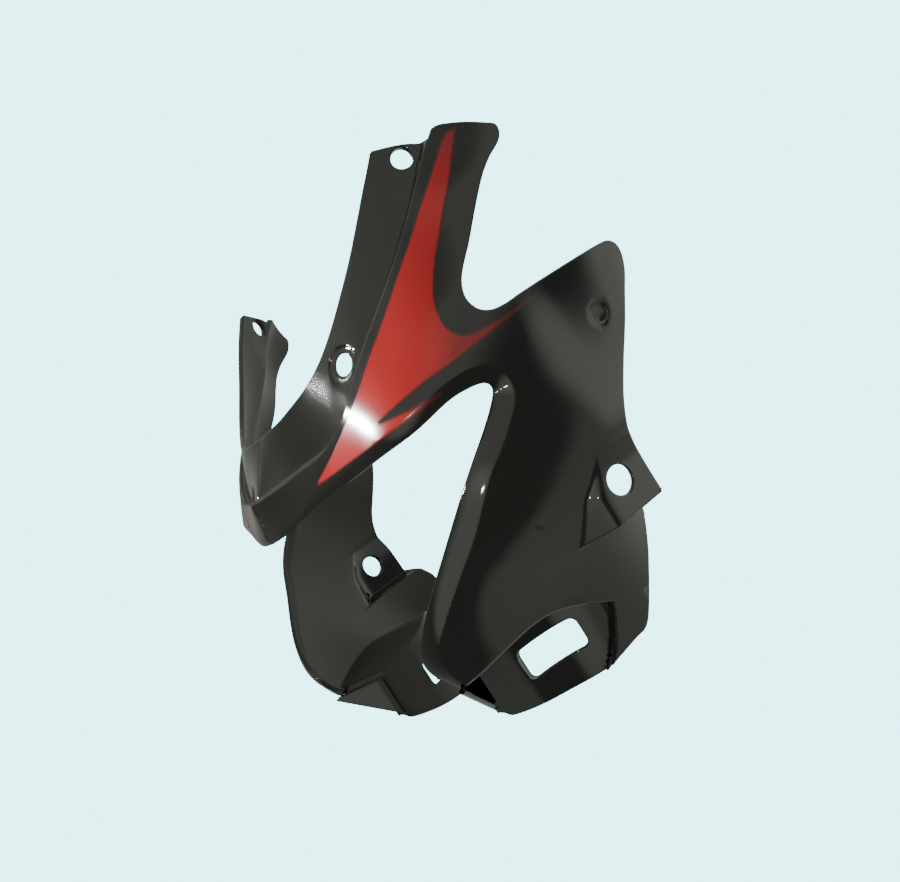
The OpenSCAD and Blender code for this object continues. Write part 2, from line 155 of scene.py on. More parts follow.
# Flash in (y, z), millimetres, how far its film stands on the skin, and how far it reaches into it
FILM_LIFT, FILM_ROOT = 0.12, 0.3
FLASH_FRONT = [[27.4, 149.2], [24.4, 150.4], [13.8, 142.6], [0.6, 130.4], [-7.1, 123], [-21.4, 110.8],
               [-33.5, 100.2], [-45.4, 90], [-57.3, 78.2], [-69, 65.6], [-73.4, 61]]
FLASH_LOW = [[-73.9, 59.4], [-69, 60.4], [-61.5, 61.7], [-51, 62.6], [-41.5, 64]]
FLASH_FINGER = [[-41.3, 65.1], [-51, 65.8], [-58.4, 67.2]]
FLASH_WEDGE = [[-58, 68], [-52, 69.4], [-42.8, 71], [-32.9, 71.5], [-25.2, 72.3], [-8.7, 74.2], [8.8, 76.6]]
FLASH_REAR = [[8.8, 77], [-6, 76.6], [-13.5, 76.8], [-20.3, 77], [-24.2, 78.6], [-26, 81.6], [-26, 86],
              [-24, 92], [-19.7, 98.6], [-11.1, 108.2], [-3.6, 116], [3.4, 124.2], [15.9, 138], [27.4, 149.2]]


# Smooth curves

def curve(xs, ys, x):
    """Smooth curve through knots; ys is one row for all x, or one row for each x."""
    x = np.asarray(x, float)
    ys = np.broadcast_to(ys, x.shape + (len(xs),))
    i = np.clip(np.searchsorted(xs, x, "right") - 1, 0, len(xs) - 2)
    lo, hi = np.maximum(i - 1, 0), np.minimum(i + 2, len(xs) - 1)

    def pick(k):
        return np.take_along_axis(ys, k[..., None], -1)[..., 0]
    y0, y1 = pick(i), pick(i + 1)
    m0 = (pick(i + 1) - pick(lo)) / (xs[i + 1] - xs[lo])
    m1 = (pick(hi) - pick(i)) / (xs[hi] - xs[i])
    h = xs[i + 1] - xs[i]
    t = (x - xs[i]) / h
    tc = np.clip(t, 0, 1)
    inside = ((2 * tc**3 - 3 * tc**2 + 1) * y0 + (tc**3 - 2 * tc**2 + tc) * h * m0
              + (3 * tc**2 - 2 * tc**3) * y1 + (tc**3 - tc**2) * h * m1)
    return inside + np.where(t < 0, t * h * m0, np.where(t > 1, (t - 1) * h * m1, 0))


def path(points, step):
    """Smooth line through points, sampled about every step."""
    p = np.array(points, float)
    d = np.concatenate([[0], np.cumsum(np.linalg.norm(np.diff(p, axis=0), axis=1))])
    s = np.linspace(0, d[-1], max(2, int(round(d[-1] / step)) + 1))
    return np.stack([curve(d, p[:, k], s) for k in range(p.shape[1])], 1)


def smooth_step(t):
    t = np.clip(t, 0, 1)
    return t * t * (3 - 2 * t)


# Surface of the shell

def polar(p):
    """Angle in degrees and radius of points round the upright axis."""
    return np.degrees(np.arctan2(p[..., 0], AXIS_Y - p[..., 1])), np.hypot(p[..., 0], AXIS_Y - p[..., 1])


def skin_r(a, z):
    z = np.asarray(z, float)
    rows = np.stack([curve(SECTION_Z, SECTION_R[:, k], z) for k in range(len(STATIONS))], -1)
    return curve(STATIONS, rows, np.abs(a))


def low_r(a, z):
    k = smooth_step((np.abs(a) - np.interp(z, *RECESS_END)) / RECESS_FADE)
    r = skin_r(a, z)
    return k * r + (1 - k) * np.minimum(r, curve(PANEL_STATIONS, PANEL_R, np.abs(a)))


def crease_z(a):
    return curve(STATIONS, CREASE_Z, a)


def ledge_z(a):
    return curve(STATIONS, LEDGE_Z, a)


def flange_r(a, z):
    z0, z1 = crease_z(a), curve(STATIONS, SCREEN_Z, a)
    r0 = skin_r(a, z0) - FLANGE_STEP
    return r0 + (curve(STATIONS, SCREEN_R, a) - r0) * (z - z0) / (z1 - z0)


def profile(a, w):
    """Height and radius at angle a and level w."""
    zl, zc, zt = ledge_z(a), crease_z(a), curve(STATIONS, SCREEN_Z, a)
    rl0, rl1, rc = low_r(a, zl), skin_r(a, zl), skin_r(a, zc)
    z = np.select([w < LEDGE, w < SKIN, w < STEP, w < FLANGE],
                  [SKIRT_Z + (zl - SKIRT_Z) * w, zl + 0 * w, zl + (zc - zl) * (w - SKIN),
                   zc + TURN * (w - STEP)], zc + TURN + (zt - zc - TURN) * (w - FLANGE))
    r = np.select([w < LEDGE, w < SKIN, w < STEP, w < FLANGE],
                  [low_r(a, z), rl0 + (rl1 - rl0) * (w - LEDGE), skin_r(a, z),
                   rc - FLANGE_STEP * (w - STEP)], flange_r(a, z))
    return z, r


def level(a, z, region):
    """Level of height z at angle a, in one region of the profile."""
    zl, zc, zt = ledge_z(a), crease_z(a), curve(STATIONS, SCREEN_Z, a)
    if region == "panel":
        return np.minimum((z - SKIRT_Z) / (zl - SKIRT_Z), LEDGE)
    if region == "flange":
        return FLANGE + (z - zc - TURN) / (zt - zc - TURN)
    return SKIN + (z - zl) / (zc - zl)


def to_flat(a, w):
    """Millimetres on the drawing that is triangulated."""
    return np.stack([np.asarray(a) * DEGREE_MM, np.interp(w, np.arange(6), LEVEL_MM)], -1)


def from_flat(p):
    return p[..., 0] / DEGREE_MM, np.interp(p[..., 1], LEVEL_MM, np.arange(6))


def solve(points, region):
    """Angle and level of side-view points (y, z) on a region of the surface."""
    p = np.array(points, float)
    radius = {"panel": low_r, "flange": flange_r}.get(region, skin_r)
    lo, hi = np.zeros(len(p)), np.full(len(p), RECESS_END[1][1] if region == "panel" else LAST_ANGLE)
    for _ in range(40):
        mid = (lo + hi) / 2
        y = AXIS_Y - radius(mid, p[:, 1]) * np.cos(np.radians(mid))
        lo, hi = np.where(y < p[:, 0], mid, lo), np.where(y < p[:, 0], hi, mid)
    return np.stack([lo, level(lo, p[:, 1], region)], 1)


def nearest(p, line):
    """Distance from points to a polyline, less than 0 on its left."""
    best, sign = np.full(len(p), 1e9), np.ones(len(p))
    for i in range(len(line) - 1):
        d = line[i + 1] - line[i]
        v = p - line[i]
        t = np.clip((v @ d) / max(d @ d, 1e-12), 0, 1)
        q = np.linalg.norm(v - t[:, None] * d, axis=1)
        hit = q < best
        best = np.where(hit, q, best)
        sign = np.where(hit, np.where(d[0] * v[:, 1] - d[1] * v[:, 0] > 0, -1, 1), sign)
    return best, sign


def inside(p, ring):
    x, y = p[:, 0], p[:, 1]
    odd = np.zeros(len(p), bool)
    for (x0, y0), (x1, y1) in zip(ring, np.roll(ring, -1, axis=0)):
        if y0 == y1:
            continue
        cross = (y0 > y) != (y1 > y)
        odd ^= cross & (x < (x1 - x0) * (y - y0) / (y1 - y0) + x0)
    return odd


def closed(ring):
    return np.vstack([ring, ring[:1]])


def pair_flat(pairs, count):
    """A list of (angle, height) pairs on the skin, as a smooth line on the flat drawing."""
    p = np.array(pairs, float)
    k = np.arange(len(p), dtype=float)
    s = np.linspace(0, len(p) - 1, count)
    a, z = curve(k, p[:, 0], s), curve(k, p[:, 1], s)
    return to_flat(a, level(a, z, "skin"))


CREASE_LINE = pair_flat(BEVEL_CREASE, BEVEL_STATIONS)
EDGE_LINE = pair_flat(BEVEL_EDGE, BEVEL_STATIONS)
BAND = np.vstack([CREASE_LINE, EDGE_LINE[::-1]])


def bevel_drop(a, w):
    """How far the bevel round the opening has turned in at a point."""
    flat = to_flat(a, w)
    near = (flat[:, 1] > LEVEL_MM[2] - 3) & (flat[:, 1] < LEVEL_MM[4])
    out = np.zeros(len(flat))
    p = flat[near]
    dc, side = nearest(p, CREASE_LINE)
    de, beyond = nearest(p, EDGE_LINE)
    width = np.maximum(np.where(side > 0, dc + np.where(beyond > 0, -de, de), dc + de), 2)
    x = dc * side / np.maximum(width, 4)
    ramp = (np.sqrt(x * x + BEVEL_SOFT**2) + x) / 2
    out[near] = BEVEL_DROP * np.minimum(1, width / BEVEL_WIDTH) * (0.8 * ramp + 0.2 * ramp**2) * (x > -0.6)
    return out


def soft_max(p, q, e):
    return (p + q + np.sqrt((p - q)**2 + e * e)) / 2


def lug_rise(y, z):
    """X of the lug's outside over a point of the side view."""
    x = np.full(len(y), LUG_X)
    for (py, pz), (ny, nz), draft in LUG_SIDES:
        n = math.hypot(ny, nz)
        d = ((y - py) * ny + (z - pz) * nz) / n
        x = -soft_max(-x, draft * d - LUG_X, LUG_ROUND)
    return x


def recess_turn(flat):
    """Angle at which the recess starts to turn out to the cheek, at heights of the flat drawing."""
    a, w = np.full(len(flat), 50.0), np.interp(flat, LEVEL_MM, np.arange(6))
    for _ in range(12):
        a = (a + np.interp(profile(a, w)[0], *RECESS_END)) / 2
    return a


def near_level(flat, lo, hi):
    """1 between two turns of the profile, fading to 0 on either side."""
    gap = np.maximum(LEVEL_MM[int(lo)] - flat, flat - LEVEL_MM[int(hi)])
    return smooth_step(1 - np.maximum(gap, 0) / TURN_FADE)


def surface(a, w, inner=False):
    """Points of the shell's outside or inside, in millimetres, at angles a and levels w."""
    a, w = np.asarray(a, float), np.asarray(w, float)
    flat = np.interp(w, np.arange(6), LEVEL_MM)
    z, r = np.zeros(a.shape), np.zeros(a.shape)
    for shift, weight in zip(FILLET, FILLET_WEIGHT):
        zi, ri = profile(a, np.interp(flat + shift * FILLET_MM, LEVEL_MM, np.arange(6)))
        z, r = z + weight * zi, r + weight * ri
    z0, r0 = profile(a, w)
    end = (w > TOP - KEPT_HIGH) | (w < KEPT_LOW)
    z, r = np.where(end, z0, z), np.where(end, r0, r)
    r = r - bevel_drop(a, w)
    if inner:
        low = w < (LEDGE + SKIN) / 2
        slope_a = np.where(low, low_r(a + 1, z) - low_r(a, z), skin_r(a + 1, z) - skin_r(a, z))
        slope_z = np.where(low, 0, skin_r(a, z + 1) - skin_r(a, z))
        r = r - WALL * np.minimum(1.7, np.sqrt(1 + slope_z**2 + (slope_a * 180 / math.pi / r)**2))
        z = z + WALL * near_level(flat, LEDGE, SKIN) - 0.8 * WALL * near_level(flat, STEP, FLANGE)
    t = np.radians(a)
    x, y = r * np.sin(t), AXIS_Y - r * np.cos(t)
    lug = (np.abs(y - LUG_MIDDLE_Y) < LUG_REACH_Y) & (np.abs(z) < LUG_REACH_Z) & (x > LUG_MIN_X)
    if lug.any():
        rise = lug_rise(y[lug], z[lug]) - (LUG_PAD if inner else 0)
        amount = smooth_step((LUG_TOP - z[lug]) / LUG_FADE)
        x[lug] += amount * (soft_max(x[lug], rise, LUG_BLEND_INSIDE if inner else LUG_BLEND) - x[lug])
    p = np.stack([x, y, z], -1)
    return dimples(p, inner)


# Centre, normal, radius and depth of each place that is pressed into the outside
PRESSED = []


def dimples(p, inner):
    """Presses the dish of the lower hole and the small mark on the wing into the surface."""
    if inner:
        return p
    for centre, normal, radius, depth in PRESSED:
        d = p - centre
        off = np.linalg.norm(d - (d @ normal)[:, None] * normal, axis=1)
        near = (off < radius + 1) & (np.abs(d @ normal) < 8)
        k = depth * smooth_step((radius + 0.5 - off) / 1.0)
        p = p - np.where(near, k, 0)[:, None] * normal
    return p


def normal_at(a, w, inner=False, step=0.12):
    """Unit normals from the surface itself, so that reflections run smoothly."""
    flat = to_flat(a, w)

    def at(dx, dy):
        q = flat + np.array([dx, dy])
        return surface(*from_flat(q), inner=inner)
    du, dv = at(step, 0) - at(-step, 0), at(0, step) - at(0, -step)
    n = np.cross(du, dv)
    n /= np.maximum(np.linalg.norm(n, axis=1), 1e-12)[:, None]
    return -n if inner else n


def frame_on(a, z, region):
    """Centre, normal and two directions of the surface at a point."""
    a, w = np.array([float(a)]), level(np.array([float(a)]), np.array([float(z)]), region)
    c, n = surface(a, w)[0], normal_at(a, w)[0]
    u = np.cross([0, 0, 1.0], n)
    u /= np.linalg.norm(u)
    return c, n, u, np.cross(n, u)


def on_surface(points, region):
    """Angle and level of points given in space near a region of the surface."""
    p = np.asarray(points, float)
    a, _ = polar(p)
    return np.stack([a, level(a, p[:, 2], region)], 1)


def circle_on(a, z, region, radius, count):
    c, _, u, v = frame_on(a, z, region)
    t = np.linspace(0, 2 * math.pi, count, endpoint=False)[:, None]
    ring = c + radius * (np.cos(t) * u + np.sin(t) * v)
    return on_surface(ring, region)


def press(a, z, region, radius, depth):
    c, n, _, _ = frame_on(a, z, region)
    PRESSED.append((c, n, radius, depth))


# Flat drawing and its triangles

def outline():
    """Half of the shell's edge on the flat drawing, from the nose round the cheek and back over the top."""
    step = 1.5
    parts = [np.stack(from_flat(EDGE_LINE), 1)]
    a, r = polar(path(FRONT_WALL, step))
    z = ledge_z(a)
    lo, hi = low_r(a, z), skin_r(a, z)
    parts.append(np.stack([a, LEDGE + np.clip((r - lo) / (hi - lo), 0, 1)], 1))
    fold = a[-1] - FOLD_TUCK
    parts.append(np.stack([np.full(14, fold), np.linspace(LEDGE, FOLD_LOW, 15)[1:]], 1))
    parts.append(solve(path(PANEL_LOW, step), "panel"))
    a, z = path(RECESS_LOW, 0.8).T
    parts.append(np.stack([a, level(a, z, "panel")], 1))
    parts.append(solve(path(REAR_LOW, step), "skin"))
    parts.append(solve(path(REAR, step), "skin")[1:])
    top = solve(path(POST_TOP, step), "flange")
    parts.append(top)
    a = np.linspace(top[-1, 0], 0, 90)
    parts.append(np.stack([a, np.full(len(a), TOP)], 1)[1:])
    return np.vstack(parts)


def spaced(ring, gap):
    """Drops points of a ring that crowd their neighbour."""
    keep = [ring[0]]
    for q in ring[1:]:
        if np.linalg.norm(q - keep[-1]) > gap:
            keep.append(q)
    if np.linalg.norm(keep[-1] - keep[0]) < gap:
        keep.pop()
    return np.array(keep)


def slot_ring():
    """Rounded slot on the slot panel, as points in space."""
    along = np.array([-math.sin(SLOT_TURN), math.cos(SLOT_TURN), 0])
    pts = []
    for sx, sy, t0 in ((1, 1, 0), (-1, 1, 90), (-1, -1, 180), (1, -1, 270)):
        for t in np.linspace(t0, t0 + 90, 6):
            x = sx * (SLOT_L / 2 - SLOT_R) + SLOT_R * math.cos(math.radians(t))
            y = sy * (SLOT_H / 2 - SLOT_R) + SLOT_R * math.sin(math.radians(t))
            pts.append(SLOT_CENTRE + along * x + np.array([0, 0, 1]) * y)
    pts = dense(np.array(pts), 1.5)
    across = np.array([math.cos(SLOT_TURN), math.sin(SLOT_TURN), 0])
    lo, hi = np.full(len(pts), -12.0), np.full(len(pts), 12.0)
    for _ in range(40):
        mid = (lo + hi) / 2
        q = pts + across * mid[:, None]
        a, r = polar(q)
        under = r < low_r(a, q[:, 2])
        lo, hi = np.where(under, mid, lo), np.where(under, hi, mid)
    return pts + across * lo[:, None]


def dense(ring, step):
    """Adds points to a ring about every step."""
    out = []
    for p, q in zip(ring, np.roll(ring, -1, axis=0)):
        n = max(1, int(np.linalg.norm(q - p) / step))
        out += [p + (q - p) * k / n for k in range(n)]
    return np.array(out)


def lug_ring():
    t = np.linspace(0, 2 * math.pi, 56, endpoint=False)
    ring = np.stack([LUG_BORE_R * np.cos(t), LUG_BORE_R * np.sin(t)], 1)
    return solve(ring, "skin")


def levels():
    """Levels of the flat drawing's rows, closer together at the turns of the profile."""
    rows = []
    for k in range(5):
        lo, hi = LEVEL_MM[k], LEVEL_MM[k + 1]
        rows += list(np.linspace(lo, hi, max(3, int((hi - lo) / 1.9)), endpoint=False))
    for turn in LEVEL_MM[1:-1]:
        rows += list(turn + np.arange(-6, 7) * 0.3)
    rows = np.unique(np.round(rows, 2))
    keep = [rows[0]]
    for r in rows[1:]:
        if r - keep[-1] > 0.24:
            keep.append(r)
    return np.array(keep)


def around_recess(grid):
    """Clears a grid along the recess's end, and adds lines of points there that follow the turn."""
    low = np.arange(0.4, LEVEL_MM[2], 0.4)
    turn = recess_turn(low)
    centre = (np.interp(grid[:, 1], low, turn) + RECESS_FADE / 2) * DEGREE_MM
    grid = grid[(grid[:, 1] >= LEVEL_MM[2]) | (np.abs(grid[:, 0] - centre) > 1.9)]
    return np.vstack([grid] + [np.stack([(turn + t * RECESS_FADE) * DEGREE_MM, low], 1)
                               for t in (-0.5, -0.15, 0, 0.12, 0.3, 0.5, 0.7, 0.88, 1, 1.15, 1.5)])


def around_lug(grid):
    """Clears a grid over the lug; returns it and a finer grid there, even in the side view."""
    # the lug's lower side is nearly a step, so the rows there are five times as close
    rows = [np.arange(-22, -15.6, LUG_GRID_STEP), np.arange(-15.6, -13.2, LUG_GRID_STEP / 5),
            np.arange(-13.2, 17, LUG_GRID_STEP)]
    y, z = np.meshgrid(np.arange(-26, 17, LUG_GRID_STEP), np.concatenate(rows))
    lug = to_flat(*solve(np.stack([y.ravel(), z.ravel()], 1), "skin").T)
    a, w = from_flat(grid)
    z = profile(a, w)[0]
    y = AXIS_Y - skin_r(a, z) * np.cos(np.radians(a))
    over = np.all((grid > lug.min(0)) & (grid < lug.max(0)), axis=1)
    over &= (y > LUG_GRID_Y[0]) & (y < LUG_GRID_Y[1]) & (z > LUG_GRID_Z[0]) & (z < LUG_GRID_Z[1])
    return grid[~over], lug


def filler(ring, holes, gap):
    """Inner points of the drawing: a grid, with finer points at the recess, the lug and the bevel."""
    rows = levels()
    columns = np.arange(1, 100) * DEGREE_MM
    steep = np.concatenate([np.arange(23, 44, 0.5), np.arange(44, 60, 0.25)]) * DEGREE_MM
    grid = np.array([[x, y] for y in rows for x in columns]
                    + [[x, y] for y in rows if y < LEVEL_MM[2] for x in steep])
    grid, lug = around_lug(around_recess(grid))
    grid = grid[~inside_margin(grid, BAND, 2.2)]
    band = [CREASE_LINE + (EDGE_LINE - CREASE_LINE) * t
            for t in (-0.22, -0.12, -0.05, 0, 0.05, 0.12, 0.25, 0.4, 0.55, 0.7, 0.85)]
    points = np.vstack([grid, lug] + band)
    ok = inside(points, ring)
    for h in holes:
        ok &= ~inside(points, h)
    points = points[ok]
    for line in [ring] + holes:
        d, _ = nearest(points, closed(line))
        points = points[d > gap]
    return unique(points, 0.12)


def inside_margin(p, ring, margin):
    near, _ = nearest(p, closed(ring))
    return inside(p, ring) | (near < margin)


def unique(p, gap):
    _, i = np.unique(np.round(p / gap).astype(int), axis=0, return_index=True)
    return p[np.sort(i)]


def triangulate(ring, holes, inner):
    """Points and triangles of the drawing inside ring and outside holes, all triangles turned one way."""
    pts, edges, start = [], [], 0
    for line in [ring] + holes:
        pts += [Vector(q) for q in line]
        n = len(line)
        edges += [(start + k, start + (k + 1) % n) for k in range(n)]
        start += n
    pts += [Vector(q) for q in inner]
    out, _, faces, _, _, _ = delaunay_2d_cdt(pts, edges, [], 0, 1e-5)
    out, tri = np.array([tuple(v) for v in out]), np.array(faces)
    centre = out[tri].mean(1)
    ok = inside(centre, ring)
    for h in holes:
        ok &= ~inside(centre, h)
    tri = tri[ok]
    area = np.cross(out[tri[:, 1]] - out[tri[:, 0]], out[tri[:, 2]] - out[tri[:, 0]])
    tri[area < 0] = tri[area < 0][:, ::-1]
    return out, tri


def boundary_loops(tri):
    """Closed loops of the edges that only one triangle has, in the triangles' own direction."""
    edges = {}
    for t in tri:
        for a, b in ((t[0], t[1]), (t[1], t[2]), (t[2], t[0])):
            edges[(a, b)] = True
    step = {a: b for a, b in edges if (b, a) not in edges}
    loops = []
    while step:
        a, b = next(iter(step.items()))
        loop = [a]
        del step[a]
        while b != loop[0]:
            loop.append(b)
            b = step.pop(b)
        loops.append(loop)
    return loops


def half_shell():
    """Half of the shell: points in millimetres, normals, triangles, and which points lie on the mid-plane."""
    upper = to_flat(*circle_on(UPPER_HOLE[0], UPPER_HOLE[1], "flange", UPPER_HOLE[2], 44).T)
    lower = to_flat(*circle_on(LOWER_HOLE[0], LOWER_HOLE[1], "flange", LOWER_HOLE[2], 48).T)
    slot = to_flat(*on_surface(slot_ring(), "panel").T)
    bore = to_flat(*lug_ring().T)
    holes = [upper, lower, slot, bore]
    ring = spaced(to_flat(*outline().T), 0.35)
    dish = [to_flat(*circle_on(LOWER_HOLE[0], LOWER_HOLE[1], "flange", DISH_R + d, 48).T)
            for d in (-0.5, -0.25, 0, 0.25, 0.5)]
    mark = [to_flat(*circle_on(DIMPLE[0], DIMPLE[1], "skin", DIMPLE[2] + d, 30).T)
            for d in (-0.5, -0.2, 0.1, 0.5)]
    press(LOWER_HOLE[0], LOWER_HOLE[1], "flange", DISH_R, DISH_DEPTH)
    press(DIMPLE[0], DIMPLE[1], "skin", DIMPLE[2], DIMPLE[3])
    points = filler(ring, holes, 0.8)
    extra = np.vstack(dish + mark)
    ok = inside(extra, ring)
    for h in holes:
        ok &= ~inside_margin(extra, h, 0.8)
    d, _ = nearest(extra, closed(ring))
    extra = extra[ok & (d > 0.8)]
    for c in (dish, mark):
        d, _ = nearest(points, closed(c[-1]))
        points = points[d > 0.9]
    flat, tri = triangulate(ring, holes, np.vstack([points, extra]))
    a, w = from_flat(flat)
    return solid(a, w, tri, a < 1e-6)


def solid(a, w, tri, seam):
    """Gives the triangulated sheet its wall and its rounded edges."""
    outer, n_out = surface(a, w), normal_at(a, w)
    inner, n_in = surface(a, w, inner=True), normal_at(a, w, inner=True)
    n_out[seam, 0], n_in[seam, 0] = 0, 0
    outer[seam, 0], inner[seam, 0] = 0, 0
    count = len(a)
    points, normals, faces = [outer, inner], [n_out, n_in], [tri, tri[:, ::-1] + count]
    total = 2 * count
    on_seam = [seam, seam]
    for loop in boundary_loops(tri):
        loop = np.array(loop)
        rings, ring_normals = rounded_edge(loop, outer, inner, seam, n_out, n_in)
        ids = [loop]
        for k in range(len(rings)):
            points.append(rings[k])
            normals.append(ring_normals[k])
            on_seam.append(seam[loop])
            ids.append(np.arange(total, total + len(loop)))
            total += len(loop)
        ids.append(loop + count)
        for lo, hi in zip(ids[:-1], ids[1:]):
            for k in range(len(loop)):
                m = (k + 1) % len(loop)
                if seam[loop[k]] and seam[loop[m]]:
                    continue
                faces.append(np.array([[lo[k], hi[k], hi[m]], [lo[k], hi[m], lo[m]]]))
    return np.vstack(points), np.vstack(normals), np.vstack(faces), np.concatenate(on_seam)


def rounded_edge(loop, outer, inner, seam, n_out, n_in):
    """Rings that run round the edge from the outside to the inside; the two sheets are drawn back to them."""
    p_out, p_in = outer[loop].copy(), inner[loop].copy()
    tangent = np.roll(p_out, -1, axis=0) - np.roll(p_out, 1, axis=0)
    middle = seam[loop]
    tangent[middle] = np.sign(tangent[middle][:, :1] + 1e-9) * np.array([1.0, 0, 0])
    tangent /= np.maximum(np.linalg.norm(tangent, axis=1), 1e-9)[:, None]
    thick = p_out - p_in
    depth = np.linalg.norm(thick, axis=1)
    n = thick / depth[:, None]
    out = np.cross(tangent, n)
    out /= np.maximum(np.linalg.norm(out, axis=1), 1e-9)[:, None]
    out[middle, 0] = 0
    rho = np.minimum(EDGE_ROUND, depth * 0.4)[:, None]
    rings, normals = [], []
    for t in (0, 30, 60, 90):
        s, c = math.sin(math.radians(t)), math.cos(math.radians(t))
        rings.append(p_out - out * rho * (1 - s) - n * rho * (1 - c))
        normals.append(out * s + n_out[loop] * c)
    for t in (90, 60, 30, 0):
        s, c = math.sin(math.radians(t)), math.cos(math.radians(t))
        rings.append(p_in - out * rho * (1 - s) + n * rho * (1 - c))
        normals.append(out * s + n_in[loop] * c)
    outer[loop], inner[loop] = rings[0], rings[-1]
    return rings[1:-1], normals[1:-1]


def front_wall():
    """Triangular plate that closes the front of the slot panel's recess: points, normals, faces."""
    t, f = np.append(FRONT_WALL[0], 0), np.append(FRONT_WALL[1], 0)
    d = (f - t) / np.linalg.norm(f - t)
    f = f + WALL_TUCK * d
    back = np.array([-d[1], d[0], 0])
    if back[0] < 0:
        back = -back
    columns, n = 14, 9
    rows = []
    for u in np.linspace(0, 1, columns):
        top, low = (z[0] + (z[1] - z[0]) * u for z in (WALL_TOP, WALL_LIP))
        base = t + (f - t) * u
        line = [base + [0, 0, z] for z in np.linspace(top, low + EDGE_ROUND, n)]
        mid = WALL / 2
        edge = [base - back * (mid - mid * math.cos(k)) + [0, 0, low + EDGE_ROUND * (1 - math.sin(k))]
                for k in np.radians(np.arange(15, 180, 15))]
        inside_line = [p - back * WALL for p in line[::-1]]
        rows.append(line + edge + inside_line)
    rows = np.array(rows)
    points = rows.reshape(-1, 3)
    m = rows.shape[1]
    faces = []
    for i in range(columns - 1):
        for j in range(m - 1):
            a, b = i * m + j, (i + 1) * m + j
            faces += [[a, a + 1, b + 1], [a, b + 1, b]]
    du = np.gradient(rows, axis=0)
    dv = np.gradient(rows, axis=1)
    normals = np.cross(du, dv).reshape(-1, 3)
    normals /= np.maximum(np.linalg.norm(normals, axis=1), 1e-9)[:, None]
    first = faces[0]
    facing = np.cross(points[first[1]] - points[first[0]], points[first[2]] - points[first[0]])
    faces = np.array(faces)
    if facing @ back < 0:
        faces = faces[:, ::-1]
    if normals[n // 2] @ back < 0:
        normals = -normals
    return points, normals, faces


def joined(one, two):
    """Two meshes of the same half as one, the second off the mid-plane."""
    shift = len(one[0])
    return (np.vstack([one[0], two[0]]), np.vstack([one[1], two[1]]),
            np.vstack([one[2], two[2] + shift]), np.concatenate([one[3], np.zeros(len(two[0]), bool)]))


def mirrored(points, normals, faces, seam):
    """The half and its mirror image, joined on the mid-plane."""
    count = len(points)
    other = np.where(seam, np.arange(count), np.cumsum(~seam) - 1 + count)
    flip = np.array([-1, 1, 1])
    points = np.vstack([points, points[~seam] * flip])
    normals = np.vstack([normals, normals[~seam] * flip])
    return points, normals, np.vstack([faces, other[faces][:, ::-1]])


def add_attribute(piece, name, values):
    layer = piece.data.attributes.new(name, "FLOAT", "POINT")
    layer.data.foreach_set("value", values.astype(np.float32))


def mark_inside(piece, points):
    """Marks the points of the inside, which has the mould's dull finish, by their distance under the skin."""
    a, r = polar(np.stack([np.abs(points[:, 0]), points[:, 1]], 1))
    z = points[:, 2]
    flange, panel = z > crease_z(a) + TURN, z < ledge_z(a)
    flat = to_flat(a, np.where(panel, LEDGE / 2, level(a, z, "skin")))
    skin = np.where(flange, flange_r(a, z), skin_r(a, z) - bevel_drop(*from_flat(flat)))
    skin = np.where(panel, low_r(a, z), skin)
    add_attribute(piece, "inside", smooth_step((skin - r - 0.9) / 0.9))


def mesh_piece(name, points, normals, faces, material):
    mesh = bpy.data.meshes.new(name)
    mesh.from_pydata((points * MM).tolist(), [], faces.tolist())
    mesh.validate()
    mesh.polygons.foreach_set("use_smooth", [True] * len(mesh.polygons))
    if len(normals) == len(mesh.vertices):
        mesh.normals_split_custom_set_from_vertices(normals.tolist())
    mesh.materials.append(material)
    piece = bpy.data.objects.new(name, mesh)
    bpy.context.collection.objects.link(piece)
    return piece


# Flash

def flash_piece(name, side, material):
    """Thin film in the shape of the flash, side 1 on the left or -1 on the right."""
    parts = [path(line, 1.5) for line in (FLASH_FRONT, FLASH_LOW, FLASH_FINGER, FLASH_WEDGE, FLASH_REAR)]
    ring = spaced(to_flat(*solve(np.vstack(parts)[:-1], "skin").T), 0.25)
    lo, hi = ring.min(0), ring.max(0)
    grid = np.array([[x, y] for y in np.arange(lo[1], hi[1], 1.7) for x in np.arange(lo[0], hi[0], 2.3)])
    grid = grid[inside(grid, ring)]
    d, _ = nearest(grid, closed(ring))
    points = [grid[d > 1.3]]
    for gap in (0.5, 0.62, 1.1):
        line = inset(ring, gap)
        d, _ = nearest(line, closed(ring))
        points.append(line[inside(line, ring) & (d > 0.9 * gap)])
    flat, tri = triangulate(ring, [], unique(np.vstack(points), 0.1))
    a, w = from_flat(flat)
    base, n = surface(a, w), normal_at(a, w)
    rim, _ = nearest(flat, closed(ring))
    count = len(a)
    top, under = base + n * FILM_LIFT, base - n * FILM_ROOT
    points, normals = np.vstack([top, under]), np.vstack([n, -n])
    faces = [tri, tri[:, ::-1] + count]
    for loop in boundary_loops(tri):
        for k in range(len(loop)):
            p, q = loop[k], loop[(k + 1) % len(loop)]
            faces.append(np.array([[p, p + count, q + count], [p, q + count, q]]))
    faces = np.vstack(faces)
    if side < 0:
        points, normals, faces = points * [-1, 1, 1], normals * [-1, 1, 1], faces[:, ::-1]
    piece = mesh_piece(name, points, normals, faces, material)
    add_attribute(piece, "rim", np.concatenate([rim, np.zeros(count)]))
    return piece


def inset(ring, gap):
    """Ring moved inwards by gap, without care for corners, which are filtered later."""
    t = np.roll(ring, -1, axis=0) - np.roll(ring, 1, axis=0)
    t /= np.maximum(np.linalg.norm(t, axis=1), 1e-9)[:, None]
    n = np.stack([-t[:, 1], t[:, 0]], 1)
    area = np.sum(ring[:, 0] * np.roll(ring[:, 1], -1) - np.roll(ring[:, 0], -1) * ring[:, 1])
    return ring + n * gap * np.sign(area)


# Materials

